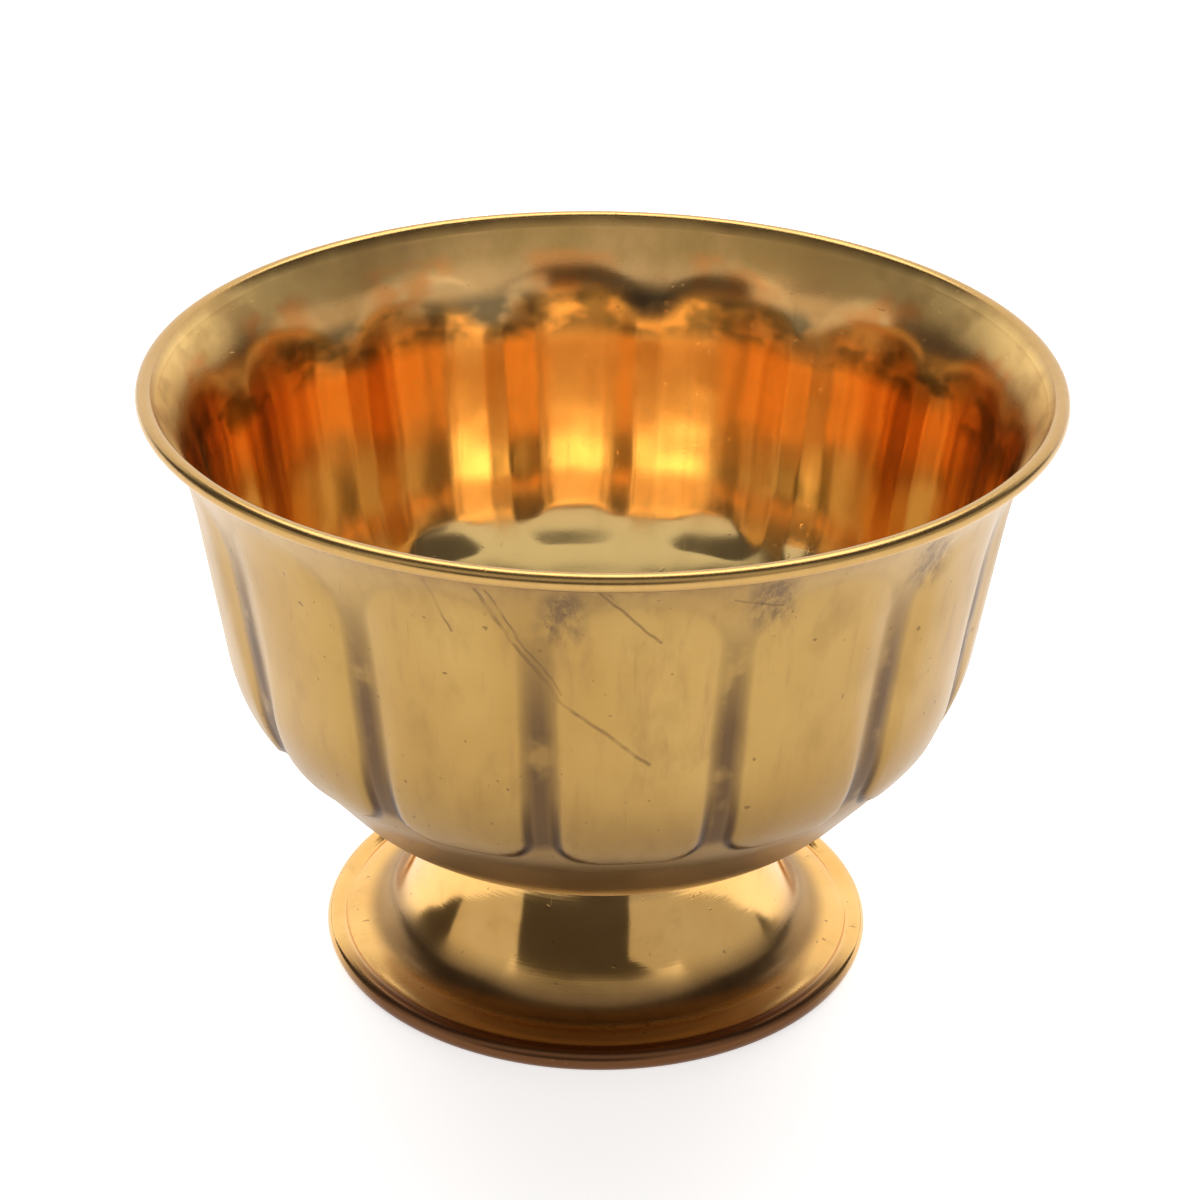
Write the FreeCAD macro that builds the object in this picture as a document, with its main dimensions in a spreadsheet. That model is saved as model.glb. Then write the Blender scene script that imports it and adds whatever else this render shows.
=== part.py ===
import FreeCAD, Part
import math
import os
import Sketcher

# A footed cup of spun sheet brass, 100 mm across.
#
# The bowl is one sheet: a dished bottom, a cone, a steep wall and a flared lip
# whose edge is curled into a bead.  Fourteen convex lobes are pressed outwards
# around the wall, with a narrow groove between each pair.  The foot is a second
# sheet, a flared bell with a rolled edge.  Its dished top carries the bowl, and a
# ring of solder holds the two together.
#
# Frame: millimetres, Z up along the axis of the cup, origin on the axis in the
# plane that the foot stands on.  The front of the cup faces -Y.

SIZES = [
    # alias, value, meaning
    ("rim_diameter", 100.0, "over the rim bead"),
    ("overall_height", 69.8, "table to the top of the rim bead"),
    ("wall", 0.8, "thickness of both sheets"),
    ("bead_radius", 0.95, "curled bead along the rim"),
    ("lip_drop", 0.38, "inner face of the lip ends this far below the bead's top"),
    ("dish_radius", 57.5, "sphere of the bowl's bottom, outside"),
    ("dish_height", 13.5, "lowest point of the bowl above the table"),
    ("knuckle_radius", 13.0, "bend between the bottom and the cone"),
    ("cone_angle", 49.5, "degrees above level"),
    ("belly_radius", 24.3, "bend between the cone and the wall, outside"),
    ("belly_out", 16.87, "centre of that bend, from the axis"),
    ("belly_up", 43.93, "centre of that bend, above the table"),
    ("wall_angle", 81.0, "degrees above level"),
    ("flare_start", 55.0, "height where the wall begins to flare"),
    ("flare_radius", 31.5, "bend of the flared lip, outside"),
    ("lobe_count", 14, "lobes around the bowl"),
    ("lobe_phase", -85.0, "direction of the first lobe, degrees from +X"),
    ("lobe_rise", 0.85, "height of a lobe above the grooves"),
    ("lobe_axis", 23.0, "each lobe is turned about a line this far out"),
    ("lobe_sweep", 60.0, "degrees of that turn"),
    ("lobe_base", 30.6, "height of the step under the lobes"),
    ("lobe_corner", 0.6, "rounding of that step"),
    ("lobe_flare", 60.0, "bend that lets a lobe fade into the lip"),
    ("lobe_top", 66.5, "top of a lobe's tool, hidden in the lip"),
    ("foot_diameter", 62.8, "over the foot's rolled edge"),
    ("edge_radius", 1.3, "rolled edge of the foot"),
    ("edge_flat", 0.08, "depth ground off that edge, so the cup stands firmly"),
    ("seat_hole", 9.0, "radius of the hole in the foot's dished top"),
    ("shoulder_radius", 1.0, "corner between that top and the bell"),
    ("bell_radius", 40.0, "hollow curve of the bell, outside"),
    ("bell_out", 56.58, "centre of that curve, from the axis"),
    ("bell_up", 26.32, "centre of that curve, above the table"),
    ("foot_fillet", 4.5, "hollow where the bell runs out into its ledge"),
    ("ledge_height", 2.45, "top of the ledge inside the rolled edge"),
    ("ledge_radius", 5.0, "crown of that ledge"),
    ("ledge_end", 29.3, "edge of the sheet, inside the rolled edge"),
    ("solder_film", 0.15, "solder between the bowl and its seat"),
    ("solder_inner", 10.0, "inner radius of the solder"),
    ("solder_fillet", 1.8, "hollow face of the solder around the neck"),
]


def add_sheet(doc):
    """Put the driving dimensions in a spreadsheet, one named cell each."""
    sheet = doc.addObject("Spreadsheet::Sheet", "Sizes")
    for row, (alias, value, meaning) in enumerate(SIZES, start=1):
        sheet.set("A%d" % row, meaning)
        sheet.set("B%d" % row, str(value))
        sheet.setAlias("B%d" % row, alias)
    doc.recompute()
    return sheet


def add_body(doc, name):
    body = doc.addObject("PartDesign::Body", name)
    body.Label = name
    return body


def origin_plane(body, role):
    for feature in body.Origin.OriginFeatures:
        if feature.Role == role:
            return feature
    raise ValueError("no origin plane called " + role)


class Outline:
    """A sketch of tangent arcs and lines: drawn roughly, then held by its sizes."""

    ORIGIN = (-1, 1)
    TABLE = -1
    CENTRE = 3

    def __init__(self, body, name, plane="XZ_Plane"):
        self.sketch = body.newObject("Sketcher::SketchObject", name)
        self.sketch.AttachmentSupport = [(origin_plane(body, plane), "")]
        self.sketch.MapMode = "FlatFace"

    def swing(self, degrees):
        """Turn the sketch's plane about the bowl's axis."""
        upright = FreeCAD.Vector(0, 1, 0)
        turned = FreeCAD.Rotation(upright, degrees)
        self.sketch.AttachmentOffset = FreeCAD.Placement(FreeCAD.Vector(0, 0, 0), turned)

    def arc(self, centre, radius, first, last):
        """Arc between two directions in degrees; returns (edge, entry, exit)."""
        low, high = sorted((math.radians(first), math.radians(last)))
        circle = Part.Circle(FreeCAD.Vector(*centre, 0), FreeCAD.Vector(0, 0, 1), radius)
        edge = self.sketch.addGeometry(Part.ArcOfCircle(circle, low, high))
        return (edge, 1, 2) if first < last else (edge, 2, 1)

    def line(self, begin, finish, guide=False):
        segment = Part.LineSegment(FreeCAD.Vector(*begin, 0), FreeCAD.Vector(*finish, 0))
        return (self.sketch.addGeometry(segment, guide), 1, 2)

    def rule(self, kind, *where):
        self.sketch.addConstraint(Sketcher.Constraint(kind, *where))

    def smooth(self, *pieces):
        """Join each piece to the next one without a corner."""
        for one, other in zip(pieces, pieces[1:]):
            self.rule("Tangent", one[0], one[2], other[0], other[1])

    def corner(self, *pieces):
        """Join each piece to the next one with a corner."""
        for one, other in zip(pieces, pieces[1:]):
            self.rule("Coincident", one[0], one[2], other[0], other[1])

    def size(self, kind, *where_and_size):
        """Add a dimension and bind it to an expression on the sheet."""
        *where, expression = where_and_size
        value = self.sketch.evalExpression(expression)
        value = getattr(value, "Value", value)
        if kind == "Angle":
            value = math.radians(value)
        index = self.sketch.addConstraint(Sketcher.Constraint(kind, *where, value))
        name = "size_%d" % index
        self.sketch.renameConstraint(index, name)
        self.sketch.setExpression("Constraints." + name, expression)

    def out(self, edge, point, expression):
        """Distance of a point from the axis."""
        self.size("DistanceX", *self.ORIGIN, edge, point, expression)

    def up(self, edge, point, expression):
        """Height of a point above the table."""
        self.size("DistanceY", *self.ORIGIN, edge, point, expression)

    def on_axis(self, edge, point):
        self.rule("PointOnObject", edge, point, -2)

    def finished(self):
        """Solve the sketch and refuse one that still has freedom."""
        self.sketch.solve()
        if not self.sketch.FullyConstrained:
            raise RuntimeError(self.sketch.Name + " is not fully constrained")
        return self.sketch


def turn(body, kind, name, sketch, axis="V_Axis", angle=None):
    """Revolution or Groove of a sketch; a partial turn is centred on its plane."""
    feature = body.newObject("PartDesign::" + kind, name)
    feature.Profile = sketch
    feature.ReferenceAxis = (sketch, [axis])
    feature.Angle = 360
    if angle:
        feature.Midplane = True
        feature.setExpression("Angle", angle)
    sketch.Visibility = False
    body.Document.recompute()
    return feature


def around(body, name, feature, sketch):
    """Repeat a feature for every lobe."""
    pattern = body.newObject("PartDesign::PolarPattern", name)
    pattern.Originals = [feature]
    pattern.Axis = (sketch, ["V_Axis"])
    pattern.Angle = 360
    pattern.setExpression("Occurrences", "Sizes.lobe_count")
    body.Tip = pattern
    body.Document.recompute()
    return pattern


def check_step(before, after, sign):
    """A feature that changes no volume, or the wrong way, is an error."""
    change = after.Shape.Volume - before.Shape.Volume
    print("%-18s %+10.1f mm3" % (after.Name, change))
    if change * sign < 1.0:
        raise RuntimeError(after.Name + " did not change the solid as it should")


def check_lobes_alike(feature):
    """Equal lobes all around make the two level moments of inertia equal."""
    moments = feature.Shape.Solids[0].MatrixOfInertia
    uneven = abs(moments.A11 - moments.A22) / moments.A11
    print("%-18s %10.5f of uneven inertia" % (feature.Name, uneven))
    if uneven > 0.001:
        raise RuntimeError("the lobes of " + feature.Name + " are not all alike")


def bowl_outline(body, name, depth, lip):
    """Half section of the bowl up to its lip, `depth` inside its outer face."""
    plan = Outline(body, name)
    dish = plan.arc((0, 71), 57, -90, -61)
    knuckle = plan.arc((21.6, 32.1), 13, -61, -40.5)
    cone = plan.line((31.5, 23.7), (35.3, 28.1))
    belly = plan.arc((16.9, 43.9), 24.3, -40.5, -9)
    side = plan.line((40.9, 40.1), (43.2, 55))
    flare = plan.arc((74.3, 50.1), 31.5, 171, 144)
    mouth = plan.line((48.8, 68.6), (0, 68.6))
    axis = plan.line((0, 68.6), (0, 13.5))
    plan.smooth(dish, knuckle, cone, belly, side, flare)
    plan.corner(flare, mouth, axis, dish)
    plan.on_axis(dish[0], plan.CENTRE)
    plan.on_axis(dish[0], dish[1])
    plan.on_axis(mouth[0], 2)
    plan.rule("Horizontal", mouth[0])
    plan.up(dish[0], dish[1], "Sizes.dish_height + " + depth)
    plan.size("Radius", dish[0], "Sizes.dish_radius - " + depth)
    plan.size("Radius", knuckle[0], "Sizes.knuckle_radius - " + depth)
    plan.size("Angle", cone[0], "Sizes.cone_angle * 1 deg")
    plan.size("Radius", belly[0], "Sizes.belly_radius - " + depth)
    plan.out(belly[0], plan.CENTRE, "Sizes.belly_out")
    plan.up(belly[0], plan.CENTRE, "Sizes.belly_up")
    plan.size("Angle", side[0], "Sizes.wall_angle * 1 deg")
    plan.up(side[0], 2, "Sizes.flare_start + %s * cos(Sizes.wall_angle * 1 deg)" % depth)
    plan.size("Radius", flare[0], "Sizes.flare_radius + " + depth)
    plan.up(mouth[0], 1, lip)
    return plan.finished()


def lobe_outline(body, name, depth, corner, half_pitch):
    """Half section of one lobe about its own upright line, `depth` inside its face.

    It stands half a pitch off the blank's own seam, so that the seam runs in a groove.
    """
    plan = Outline(body, name)
    guide = plan.line((23, 66.5), (23, 30.6), guide=True)
    spine = plan.line((23, 66.5), (23, 30.6))
    base = plan.line((23, 30.6), (37.6, 30.6))
    heel = plan.arc((37.7, 31.2), 0.6, -90, -33)
    belly = plan.arc((16.9, 43.9), 25.1, -32, -9)
    side = plan.line((41.7, 40), (44.1, 55))
    fade = plan.arc((103.4, 45.7), 60, 171, 160)
    top = plan.line((47.1, 66.5), (23, 66.5))
    plan.corner(top, spine, base)
    plan.smooth(base, heel, belly, side, fade)
    plan.corner(fade, top)
    plan.rule("Coincident", guide[0], 1, spine[0], 1)
    plan.rule("Coincident", guide[0], 2, spine[0], 2)
    plan.rule("Vertical", spine[0])
    plan.rule("Horizontal", base[0])
    plan.rule("Horizontal", top[0])
    plan.out(spine[0], 1, "Sizes.lobe_axis")
    plan.up(spine[0], 2, "Sizes.lobe_base + " + depth)
    plan.up(spine[0], 1, "Sizes.lobe_top")
    plan.size("Radius", heel[0], corner)
    plan.size("Radius", belly[0], "Sizes.belly_radius + Sizes.lobe_rise - " + depth)
    plan.out(belly[0], plan.CENTRE, "Sizes.belly_out")
    plan.up(belly[0], plan.CENTRE, "Sizes.belly_up")
    plan.size("Angle", side[0], "Sizes.wall_angle * 1 deg")
    plan.up(side[0], 2, "Sizes.flare_start + %s * cos(Sizes.wall_angle * 1 deg)" % depth)
    plan.size("Radius", fade[0], "Sizes.lobe_flare + " + depth)
    plan.swing(half_pitch)
    return plan.finished()


def rim_bead_outline(body):
    plan = Outline(body, "rim_bead_outline")
    circle = Part.Circle(FreeCAD.Vector(49, 68.9, 0), FreeCAD.Vector(0, 0, 1), 0.95)
    edge = plan.sketch.addGeometry(circle)
    plan.size("Radius", edge, "Sizes.bead_radius")
    plan.out(edge, plan.CENTRE, "Sizes.rim_diameter / 2 - Sizes.bead_radius")
    plan.up(edge, plan.CENTRE, "Sizes.overall_height - Sizes.bead_radius")
    return plan.finished()


def make_bowl_shell(doc, sheet):
    """The spun, fluted bowl with its curled rim."""
    body = add_body(doc, "bowl_shell")
    outside = bowl_outline(body, "bowl_outside", "0", "Sizes.overall_height - Sizes.bead_radius")
    blank = turn(body, "Revolution", "bowl_blank", outside)
    half_pitch = 180.0 / sheet.lobe_count
    lobe_face = lobe_outline(body, "lobe_outside", "0", "Sizes.lobe_corner", half_pitch)
    lobe = turn(body, "Revolution", "lobe", lobe_face, "Axis0", "Sizes.lobe_sweep * 1 deg")
    lobes = around(body, "lobes", lobe, lobe_face)
    check_step(blank, lobes, +1)

    lip = "Sizes.overall_height - Sizes.lip_drop"
    inside = bowl_outline(body, "bowl_inside", "Sizes.wall", lip)
    hollow = turn(body, "Groove", "bowl_hollow", inside)
    check_step(lobes, hollow, -1)
    heel = "Sizes.lobe_corner / 2"
    recess_face = lobe_outline(body, "lobe_inside", "Sizes.wall", heel, half_pitch)
    recess = turn(body, "Groove", "lobe_recess", recess_face, "Axis0", "Sizes.lobe_sweep * 1 deg")
    recesses = around(body, "lobe_recesses", recess, recess_face)
    check_step(hollow, recesses, -1)

    bead = turn(body, "Revolution", "rim_bead", rim_bead_outline(body))
    check_step(recesses, bead, +1)
    body.Tip = bead
    check_lobes_alike(bead)
    facing = FreeCAD.Rotation(FreeCAD.Vector(0, 0, 1), sheet.lobe_phase - half_pitch)
    body.Placement = FreeCAD.Placement(FreeCAD.Vector(0, 0, 0), facing)
    return body


def seat_and_bell(plan, depth, start, finish):
    """The foot's upper face down to the bell, `depth` below its outer face."""
    seat = plan.arc((0, 71), 57.6, start, -73)
    shoulder = plan.arc((17.2, 14.9), 1, 107, 16)
    bell = plan.arc((56.6, 26.3), 40, 196, finish)
    plan.smooth(seat, shoulder, bell)
    plan.on_axis(seat[0], plan.CENTRE)
    plan.up(seat[0], plan.CENTRE, "Sizes.dish_height + Sizes.dish_radius")
    plan.size("Radius", seat[0], "Sizes.dish_radius + Sizes.solder_film + " + depth)
    plan.size("Radius", shoulder[0], "Sizes.shoulder_radius - " + depth)
    plan.size("Radius", bell[0], "Sizes.bell_radius + " + depth)
    plan.out(bell[0], plan.CENTRE, "Sizes.bell_out")
    plan.up(bell[0], plan.CENTRE, "Sizes.bell_up")
    return seat, bell


def foot_outline(body, name, depth, base):
    """Half section of the foot without its rolled edge, `depth` below its outer face."""
    plan = Outline(body, name)
    seat, bell = seat_and_bell(plan, depth, -90, 213)
    fillet = plan.arc((26.8, 7), 4.5, 213, 270)
    ledge = plan.arc((26.8, -2.5), 5, 90, 60)
    edge = plan.line((29.3, 1.8), (29.3, 0.5))
    floor = plan.line((29.3, 0.5), (0, 0.5))
    axis = plan.line((0, 0.5), (0, 13.3))
    plan.smooth(bell, fillet, ledge)
    plan.corner(ledge, edge, floor, axis, seat)
    plan.rule("Vertical", fillet[0], plan.CENTRE, ledge[0], plan.CENTRE)
    plan.rule("Vertical", edge[0])
    plan.rule("Horizontal", floor[0])
    plan.on_axis(floor[0], 2)
    plan.on_axis(seat[0], seat[1])
    plan.size("Radius", fillet[0], "Sizes.foot_fillet + " + depth)
    plan.size("Radius", ledge[0], "Sizes.ledge_radius - " + depth)
    plan.up(ledge[0], ledge[1], "Sizes.ledge_height - " + depth)
    plan.out(edge[0], 1, "Sizes.ledge_end")
    plan.up(edge[0], 2, base)
    return plan.finished()


def rolled_edge_outline(body):
    """A circle with its bottom ground off level."""
    plan = Outline(body, "rolled_edge_outline")
    curl = plan.arc((30.1, 1.2), 1.3, -70, 250)
    flat = plan.line((29.7, 0), (30.5, 0))
    plan.corner(curl, flat, curl)
    plan.rule("Horizontal", flat[0])
    plan.size("Radius", curl[0], "Sizes.edge_radius")
    plan.out(curl[0], plan.CENTRE, "Sizes.foot_diameter / 2 - Sizes.edge_radius")
    plan.up(curl[0], plan.CENTRE, "Sizes.edge_radius - Sizes.edge_flat")
    plan.rule("PointOnObject", flat[0], 1, Outline.TABLE)
    return plan.finished()


def make_foot(doc):
    """The spun foot: dished seat, bell, ledge and rolled edge."""
    body = add_body(doc, "foot")
    outside = foot_outline(body, "foot_outside", "0", "Sizes.edge_radius / 2")
    blank = turn(body, "Revolution", "foot_blank", outside)
    inside = foot_outline(body, "foot_inside", "Sizes.wall", "0 - Sizes.wall")
    hollow = turn(body, "Groove", "foot_hollow", inside)
    check_step(blank, hollow, -1)

    hole_plan = Outline(body, "seat_hole_outline", "XY_Plane")
    circle = Part.Circle(FreeCAD.Vector(0, 0, 0), FreeCAD.Vector(0, 0, 1), 9)
    edge = hole_plan.sketch.addGeometry(circle)
    hole_plan.rule("Coincident", edge, Outline.CENTRE, *Outline.ORIGIN)
    hole_plan.size("Radius", edge, "Sizes.seat_hole")
    hole = body.newObject("PartDesign::Pocket", "seat_hole")
    hole.Profile = hole_plan.finished()
    hole.Type = "ThroughAll"
    hole.Midplane = True
    doc.recompute()
    check_step(hollow, hole, -1)

    rolled = turn(body, "Revolution", "rolled_edge", rolled_edge_outline(body))
    check_step(hole, rolled, +1)
    body.Tip = rolled
    return body


def make_solder_ring(doc):
    """Solder between the bowl and its seat, with a hollow face around the neck."""
    body = add_body(doc, "solder_ring")
    plan = Outline(body, "solder_outline")
    seat, bell = seat_and_bell(plan, "0", -80, 197)
    face = plan.arc((20, 15), 1.8, 197, 110)
    dish = plan.arc((0, 71), 57.5, -70, -80)
    inner = plan.line((10, 14.4), (10, 14.2))
    plan.smooth(bell, face, dish)
    plan.corner(dish, inner, seat)
    plan.rule("Coincident", dish[0], plan.CENTRE, seat[0], plan.CENTRE)
    plan.rule("Vertical", inner[0])
    plan.size("Radius", dish[0], "Sizes.dish_radius")
    plan.size("Radius", face[0], "Sizes.solder_fillet")
    plan.out(inner[0], 1, "Sizes.solder_inner")
    body.Tip = turn(body, "Revolution", "solder", plan.finished())
    return body


def check_document(doc):
    for item in doc.Objects:
        if "Invalid" in item.State or "Error" in item.State:
            raise RuntimeError(item.Name + " failed: " + str(item.State))


def export(body):
    shape = body.Shape
    if shape.isNull() or not shape.isValid():
        raise RuntimeError(body.Label + " has no valid shape")
    shape.exportStep("parts/%s.step" % body.Label)
    box = shape.optimalBoundingBox()
    print("%-12s %d solid, %8.1f mm3, z %.2f to %.2f, widest %.2f" % (
        body.Label, len(shape.Solids), shape.Volume, box.ZMin, box.ZMax, box.XLength))


def main():
    os.makedirs("parts", exist_ok=True)
    doc = FreeCAD.newDocument("footed_cup")
    sheet = add_sheet(doc)
    bodies = [make_bowl_shell(doc, sheet), make_foot(doc), make_solder_ring(doc)]
    doc.recompute()
    check_document(doc)
    for body in bodies:
        export(body)


main()
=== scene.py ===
# %% [markdown]
# # A footed brass bowl
# This bowl is two pieces of spun sheet brass and a seam of solder. The bowl itself has
# fourteen lobes pressed around its wall and a lip curled into a bead. The foot is a bell
# with a rolled edge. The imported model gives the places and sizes, and everything below is
# made in metres in that same frame: Z up, the table at zero, the front facing -Y.

# %% Load the frame and keep its box
import bisect
import math
import bpy
from mathutils import Matrix, Vector


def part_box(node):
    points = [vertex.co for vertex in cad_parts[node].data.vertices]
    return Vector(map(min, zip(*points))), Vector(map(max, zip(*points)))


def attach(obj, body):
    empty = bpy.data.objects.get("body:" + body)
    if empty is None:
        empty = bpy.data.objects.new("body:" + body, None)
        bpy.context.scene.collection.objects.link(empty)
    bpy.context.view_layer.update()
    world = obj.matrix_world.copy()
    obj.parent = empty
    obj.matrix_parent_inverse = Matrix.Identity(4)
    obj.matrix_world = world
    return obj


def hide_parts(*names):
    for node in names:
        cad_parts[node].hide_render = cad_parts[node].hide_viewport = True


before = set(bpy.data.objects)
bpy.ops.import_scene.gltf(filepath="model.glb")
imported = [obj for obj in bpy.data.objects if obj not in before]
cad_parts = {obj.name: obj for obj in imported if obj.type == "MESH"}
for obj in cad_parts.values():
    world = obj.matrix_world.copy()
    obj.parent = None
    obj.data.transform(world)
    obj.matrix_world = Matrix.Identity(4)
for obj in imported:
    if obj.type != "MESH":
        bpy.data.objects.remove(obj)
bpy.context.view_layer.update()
MM = 0.001

# %% [markdown]
# ## One small language for node trees
# A brass finish is mostly arithmetic on noise, so the trees are written as sums. `Out` wraps
# one output socket, and the usual signs on it add Math nodes. `Tree.add` makes any other
# node: its settings first, then its inputs. The same two classes serve for the shapes, which
# are Geometry Nodes, and for the finishes, which are shader nodes.

# %% Signs on an output
def sign(operation, turned=False):
    """A method that adds one Math node; turned is for a plain number on the left."""
    def method(self, other):
        pair = (other, self) if turned else (self, other)
        return self.tree.math(operation, *pair)
    return method


class Out:
    """One output of a node. Signs on it add Math nodes to its tree."""

    __add__, __radd__ = sign("ADD"), sign("ADD", turned=True)
    __sub__, __rsub__ = sign("SUBTRACT"), sign("SUBTRACT", turned=True)
    __mul__, __rmul__ = sign("MULTIPLY"), sign("MULTIPLY", turned=True)
    __truediv__, __rtruediv__ = sign("DIVIDE"), sign("DIVIDE", turned=True)
    __pow__, __mod__ = sign("POWER"), sign("FLOORED_MODULO")

    def __init__(self, tree, socket):
        self.tree, self.socket = tree, socket

    def __neg__(self):
        return self * -1.0


# %% A tree that is filled by calls
class Tree:
    """A node tree, with one method for any node and short ones for the common kinds."""

    def __init__(self, tree):
        self.tree = tree

    def add(self, kind, settings=None, inputs=None, out=0):
        """Make a node: settings first, then values or links of its inputs."""
        node = self.tree.nodes.new(kind)
        for name, value in (settings or {}).items():
            setattr(node, name, value)
        for key, value in (inputs or {}).items():
            if isinstance(value, Out):
                self.tree.links.new(value.socket, node.inputs[key])
            else:
                node.inputs[key].default_value = value
        return Out(self, node.outputs[out])

    def math(self, operation, *values):
        return self.add("ShaderNodeMath", {"operation": operation}, dict(enumerate(values)))

    def clamp01(self, value):
        settings = {"operation": "ADD", "use_clamp": True}
        return self.add("ShaderNodeMath", settings, {0: value, 1: 0.0})

    def ramp(self, value, low, high, give_low=0.0, give_high=1.0):
        """Smooth step from give_low at low to give_high at high."""
        settings = {"interpolation_type": "SMOOTHSTEP"}
        return self.add("ShaderNodeMapRange", settings,
                        {0: value, 1: low, 2: high, 3: give_low, 4: give_high})

    def largest(self, *values):
        """The largest of several values."""
        result = values[0]
        for value in values[1:]:
            result = self.math("MAXIMUM", result, value)
        return result

    def xyz(self, vector):
        node = self.add("ShaderNodeSeparateXYZ", {}, {0: vector}).socket.node
        return [Out(self, socket) for socket in node.outputs]

    def vector(self, x, y, z):
        return self.add("ShaderNodeCombineXYZ", {}, {0: x, 1: y, 2: z})


# %% [markdown]
# ## The section of a spun piece
# A spinner thinks of a vessel as one curved line turned about the lathe's axis. The line
# here is a chain of arcs and straights, each starting in the direction in which the last
# one stopped. Each point of the chain knows its outward direction, so the inner face of the
# sheet is the same chain moved inwards by the sheet's thickness.

# %% Arcs and straights of a section, in millimetres
SHEET = 0.8
JOINT = 0.05  # runs that meet closer than this share their point, or the sheet would fold


def arc(centre, radius, first, last, step):
    """Points on an arc with their outward directions. A hollow arc has a negative radius."""
    count = max(2, math.ceil(abs(math.radians(last - first) * radius) / step))
    for k in range(count + 1):
        turn = math.radians(first + (last - first) * k / count)
        ray = Vector((math.cos(turn), math.sin(turn)))
        yield Vector(centre) + ray * abs(radius), ray * math.copysign(1, radius)


def straight(begin, finish, step):
    """Points on a line; its outward side is on the right of its direction."""
    begin, finish = Vector(begin), Vector(finish)
    along = (finish - begin).normalized()
    count = max(1, math.ceil((finish - begin).length / step))
    for k in range(count + 1):
        yield begin.lerp(finish, k / count), Vector((along.y, -along.x))


def tangent(centre, radius, degrees):
    """The point of a circle in a direction."""
    turn = math.radians(degrees)
    return (centre[0] + radius * math.cos(turn), centre[1] + radius * math.sin(turn))


def chain(*runs):
    """Join runs into one list of (point, outward direction, length so far)."""
    points = []
    length = 0.0
    for run in runs:
        for place, ray in run:
            if points:
                gap = (place - points[-1][0]).length
                if gap < JOINT:
                    continue
                length += gap
            points.append((place, ray, length))
    return points


# %% [markdown]
# ## The bowl's section
# From the axis outwards: a dished bottom, a knuckle, a cone, a belly, a steep wall and a
# flared lip. The lip ends in a bead, which is the sheet's own edge curled outwards and down.
# A circle is written as its centre, out from the axis and up from the table, and its radius.

# %% Sizes of the bowl, in millimetres and degrees
RIM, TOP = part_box("bowl_shell")[1].x / MM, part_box("bowl_shell")[1].z / MM
BEAD = 0.95
BEAD_CENTRE = (RIM - BEAD, TOP - BEAD)
BEAD_FROM, BEAD_TO = -112, 143
DISH = ((0.0, 71.0), 57.5)
KNUCKLE = ((21.64, 32.12), 13.0)
BELLY = ((16.87, 43.93), 24.3)
FLARE = ((74.34, 50.07), 31.5)
POLE_TILT, DISH_TILT, CONE_TILT, WALL_TILT = -90, -60.9, -40.5, -9.0
LIP_TILT, LIP_END = 171.0, 145.5
LOBE_FOOT, LOBE_HEAD = 30.4, 65.2


# %% The outer face of the bowl
def belly_tilt(height):
    """Where a height lies on the belly's arc."""
    return math.degrees(math.asin((height - BELLY[0][1]) / BELLY[1]))


def bowl_side():
    """The outer face from the pole to the bead, finest where the lobes begin."""
    under_lobe, above_step = belly_tilt(LOBE_FOOT - 0.6), belly_tilt(LOBE_FOOT + 3.4)
    cone = (tangent(*KNUCKLE, CONE_TILT), tangent(*BELLY, CONE_TILT))
    wall = (tangent(*BELLY, WALL_TILT), tangent(*FLARE, LIP_TILT))
    return chain(
        arc(*DISH, POLE_TILT, DISH_TILT, step=1.6),
        arc(*KNUCKLE, DISH_TILT, CONE_TILT, step=0.8),
        straight(*cone, step=0.9),
        arc(*BELLY, CONE_TILT, under_lobe, step=0.6),
        arc(*BELLY, under_lobe, above_step, step=0.22),
        arc(*BELLY, above_step, WALL_TILT, step=0.9),
        straight(*wall, step=1.1),
        arc(FLARE[0], -FLARE[1], LIP_TILT, LIP_END, step=0.45),
    )


side = bowl_side()
heights = [place.y for place, ray, length in side]
lengths = [length for place, ray, length in side]


def length_at(height):
    """Distance along the section, from the pole, at a height above the table."""
    k = bisect.bisect(heights, height)
    share = (height - heights[k - 1]) / (heights[k] - heights[k - 1])
    return lengths[k - 1] + share * (lengths[k] - lengths[k - 1])


print("outer face:", len(side), "points,", round(lengths[-1], 1), "mm from pole to bead")

# %% [markdown]
# ## Rows: what each point of the section says
# A row is a point, its outward direction, its distance from the pole, how strongly the press
# works on it, how soft the lobe's shoulder is there, and whether it is on the inner face.
# The inner face is pressed almost as deeply as the outer one, but its shoulders are softer,
# as sheet metal's are on the side away from the tool.

# %% Rows of the bowl
CRISP, SOFT = 1.0, 3.6
SOFT_FROM, SOFT_OVER = 34.0, 18.0
INNER_BLUR, INNER_PRESS = 5.0, 0.95


def outer_blur(height):
    """Softness of a lobe's shoulder: crisp at the foot of the lobe, soft towards the lip."""
    share = min(max((height - SOFT_FROM) / SOFT_OVER, 0.0), 1.0)
    return CRISP + (SOFT - CRISP) * share * share * (3 - 2 * share)


bead = chain(arc(BEAD_CENTRE, BEAD, BEAD_FROM, BEAD_TO, step=0.2))
rows = [(p, n, s, 1.0, outer_blur(p.y), 0.0) for p, n, s in side]
rows += [(p, n, lengths[-1], 0.0, 1.0, 0.0) for p, n, s in bead]
rows += [(p - SHEET * n, n, s, INNER_PRESS, INNER_BLUR, 1.0) for p, n, s in reversed(side)]
print("bowl section:", len(rows), "rows")

# %% [markdown]
# ## Spinning a section, with lobes
# The lobes follow a rule, so the whole bowl is one Geometry Nodes tree. It makes a grid with
# one row for each point of the section and bends it round the axis. Where a lobe is, it
# moves the sheet outwards: a step at the lobe's outline, then a gentle crown. Inner and
# outer face move alike, as pressed sheet does. The columns crowd together at the grooves,
# where the shape needs them. The inputs come first, because the tree reads them by name.

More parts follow.
